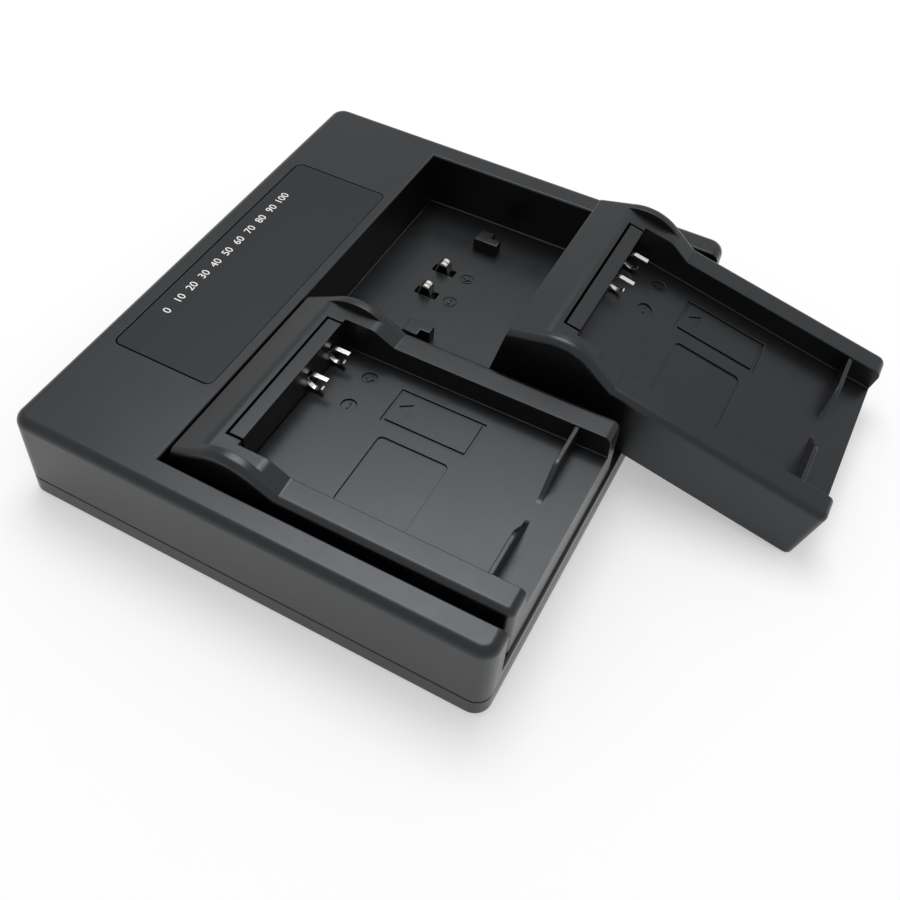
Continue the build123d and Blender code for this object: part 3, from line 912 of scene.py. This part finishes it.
def bottom_housing(material):
    """Lower shell with soft outer edges."""
    mesh = merged_copy("bottom_shell")
    round_edges(mesh, BOTTOM_ROUND, on_bottom)
    piece = smooth_object("bottom_housing", mesh)
    dress(piece, material, "base", "shell_black", "bottom_shell")


def display_panel(material):
    """Panel film, pushed against the front of its seat."""
    mesh = merged_copy("display_window")
    low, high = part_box("display_window")
    for vert in mesh.verts:
        if vert.co.y < (low.y + high.y) / 2:
            vert.co.y -= PANEL_PUSH
    top = BASE_TOP - NEAR
    round_edges(mesh, PANEL_ROUND, lambda edge: fold(edge) > CORNER_FOLD and middle(edge).z > top)
    piece = smooth_object("display_panel", mesh)
    dress(piece, material, "base", "panel_black", "display_window")


def number_mesh(number):
    """Mesh of one number, centred on x = 0."""
    text = bpy.data.curves.new("number", "FONT")
    text.body = number
    text.align_x = "CENTER"
    text.size = NUMBER_HEIGHT / CAPITAL_SHARE
    text.extrude = PRINT_DEPTH / 2
    return taken_mesh(linked("number", text))


def panel_numbers(material):
    """Row of plain numbers printed on the display panel."""
    mesh = bmesh.new()
    start, end = NUMBER_SPAN
    for i, number in enumerate(NUMBERS):
        data = number_mesh(number)
        x = start + (end - start) * i / (len(NUMBERS) - 1)
        data.transform(Matrix.Translation((x, NUMBER_Y, BASE_TOP + PRINT_DEPTH / 2)))
        mesh.from_mesh(data)
        bpy.data.meshes.remove(data)
    piece = new_object("panel_numbers", mesh)
    dress(piece, material, "base", "panel_black")


# Spring leaves

def one_leaf():
    """One spring leaf at x = 0: two bowed halves beside a slit."""
    mesh = bmesh.new()
    line = rounded_line(LEAF_LINE, LEAF_RADII)
    half_pitch = (LEAF_HALF_WIDTH + LEAF_SLIT) / 2
    for side in (-1, 1):
        bent_strip(mesh, side * half_pitch, line, LEAF_HALF_WIDTH, LEAF_THICKNESS)
    return mesh


def leaf_tree(material):
    """Node tree that repeats a leaf for both contacts of both bays."""
    tree = bpy.data.node_groups.new("bay_leaves", "GeometryNodeTree")
    tree.interface.new_socket("Leaf", in_out="INPUT", socket_type="NodeSocketGeometry")
    for name in ("Leaf Pitch", "Bay Pitch", "Pair Middle"):
        tree.interface.new_socket(name, in_out="INPUT", socket_type="NodeSocketFloat")
    tree.interface.new_socket("Leaves", in_out="OUTPUT", socket_type="NodeSocketGeometry")
    given = tree.nodes.new("NodeGroupInput")
    leaf, leaf_pitch, bay_pitch, pair_middle = (Value(tree, socket) for socket in given.outputs[:4])

    def pair(pitch, shape, shift):
        """Two copies of a shape, a pitch apart along x about a middle."""
        step = add_node(tree, "ShaderNodeCombineXYZ", {}, {"X": pitch})
        start = add_node(tree, "ShaderNodeCombineXYZ", {}, {"X": shift - pitch * 0.5})
        inputs = {"Count": 2, "Start Location": start, "Offset": step}
        points = add_node(tree, "GeometryNodeMeshLine", {"mode": "OFFSET"}, inputs)
        copies = add_node(tree, "GeometryNodeInstanceOnPoints", {}, {"Points": points, "Instance": shape})
        return add_node(tree, "GeometryNodeRealizeInstances", {}, {"Geometry": copies})

    leaves = pair(bay_pitch, pair(leaf_pitch, leaf, pair_middle), 0.0)
    dressed = add_node(tree, "GeometryNodeSetMaterial", {}, {"Geometry": leaves, "Material": material})
    result = tree.nodes.new("NodeGroupOutput")
    tree.links.new(dressed.socket, result.inputs[0])
    return tree


def bay_leaves(material):
    """Spring leaves of both bays, as one plain mesh."""
    leaf = one_leaf()
    shade(leaf)
    maker = new_object("leaf_maker", leaf)
    repeat = maker.modifiers.new("repeat", "NODES")
    repeat.node_group = leaf_tree(material)
    places = {"Leaf Pitch": LEAF_PITCH, "Bay Pitch": BAY_PITCH, "Pair Middle": LEAF_MIDDLE}
    for item in repeat.node_group.interface.items_tree:
        if item.name in places:
            repeat[item.identifier] = places[item.name]
    piece = linked("bay_spring_leaves", taken_mesh(maker))
    nodes = [bay + "_bay_" + sign for bay in ("left", "right") for sign in ("minus", "plus")]
    dress(piece, material, "base", "contact_nickel", *nodes)


# Inner parts

def cad_finish(material, *nodes):
    """Gives CAD nodes that keep their own mesh a finish."""
    for node in nodes:
        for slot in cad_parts[node].material_slots:
            slot.material = material


def inner_parts(nickel):
    """Finishes of the screws and the working parts in the base."""
    steel = plated_metal("screw_steel", color=(0.56, 0.56, 0.58), roughness=0.25, streak=(1.0, 1.0, 1.0))
    can = plated_metal("can_aluminium", color=(0.78, 0.78, 0.80), roughness=0.22, streak=(1.0, 1.0, 0.1))
    inner = moulded_black("part_black", level=0.012, roughness=0.42, grain_depth=0.006 * MM)
    cad_finish(nickel, "usb_socket")
    cad_finish(steel, "case_screws")
    cad_finish(can, "filter_capacitors")
    cad_finish(inner, "charge_controller", "power_inductor", "display_connector", "display_screen")
    cad_finish(solder_mask("board_green"), "circuit_board")


# Stage

def table():
    """White table top under the charger."""
    mesh = bmesh.new()
    bmesh.ops.create_grid(mesh, x_segments=1, y_segments=1, size=FLOOR_HALF)
    mesh.transform(Matrix.Translation((0, 0, -FLOOR_DROP)))
    floor = new_object("table", mesh)
    floor.data.materials.append(floor_white("table_white"))


def sky():
    """Even studio surround, shown in the tone of the far floor."""
    world = bpy.data.worlds.new("studio")
    bpy.context.scene.world = world
    world.use_nodes = True
    surround = world.node_tree.nodes["Background"]
    surround.inputs["Color"].default_value = grey(1.0)
    camera_ray = add_node(world.node_tree, "ShaderNodeLightPath", output="Is Camera Ray")
    level = camera_ray * (SKY_SHOWN - SKY_LEVEL) + SKY_LEVEL
    world.node_tree.links.new(level.socket, surround.inputs["Strength"])


def softbox():
    """Square lamp high over the back right, aimed at the base."""
    lamp = bpy.data.lights.new("softbox", "AREA")
    lamp.shape = "SQUARE"
    lamp.size = SOFTBOX_SIZE
    lamp.energy = SOFTBOX_POWER
    aim = Vector(SOFTBOX_PLACE).to_track_quat("Z", "Y").to_matrix().to_4x4()
    linked("softbox", lamp).matrix_world = Matrix.Translation(SOFTBOX_PLACE) @ aim


def camera():
    """Camera in the photograph's place."""
    data = bpy.data.cameras.new("camera")
    data.lens = CAMERA_LENS
    data.sensor_width = CAMERA_SENSOR
    data.shift_x, data.shift_y = CAMERA_SHIFT
    data.clip_start = CAMERA_CLIP
    made = linked("camera", data)
    turn = Matrix((CAMERA_RIGHT, CAMERA_UP, CAMERA_BACK)).transposed().to_4x4()
    made.matrix_world = Matrix.Translation(CAMERA_PLACE) @ turn
    bpy.context.scene.camera = made


def main():
    """Builds the charger, then the stage round it."""
    shell = moulded_black("shell_black", level=0.0025, roughness=0.31, grain_depth=0.012 * MM)
    plate = moulded_black("plate_black", level=0.0025, roughness=0.31, grain_depth=0.010 * MM)
    nickel = plated_metal("contact_nickel", color=(0.95, 0.92, 0.86), roughness=0.15, streak=(1.0, 0.08, 1.0))
    top_housing(shell)
    bottom_housing(shell)
    display_panel(panel_film("panel_black"))
    for name, body in (("left", "left_plate"), ("loose", "base")):
        plate_body(name, body, plate)
        contact_holder(name, body, plate)
        battery_clips(name, body, nickel)
    cad_finish(plate, "left_plate_cover", "loose_plate_cover")
    bay_leaves(nickel)
    panel_numbers(white_print("panel_print"))
    inner_parts(nickel)
    table()
    sky()
    softbox()
    camera()
    bpy.context.scene.view_settings.view_transform = "Standard"


main()
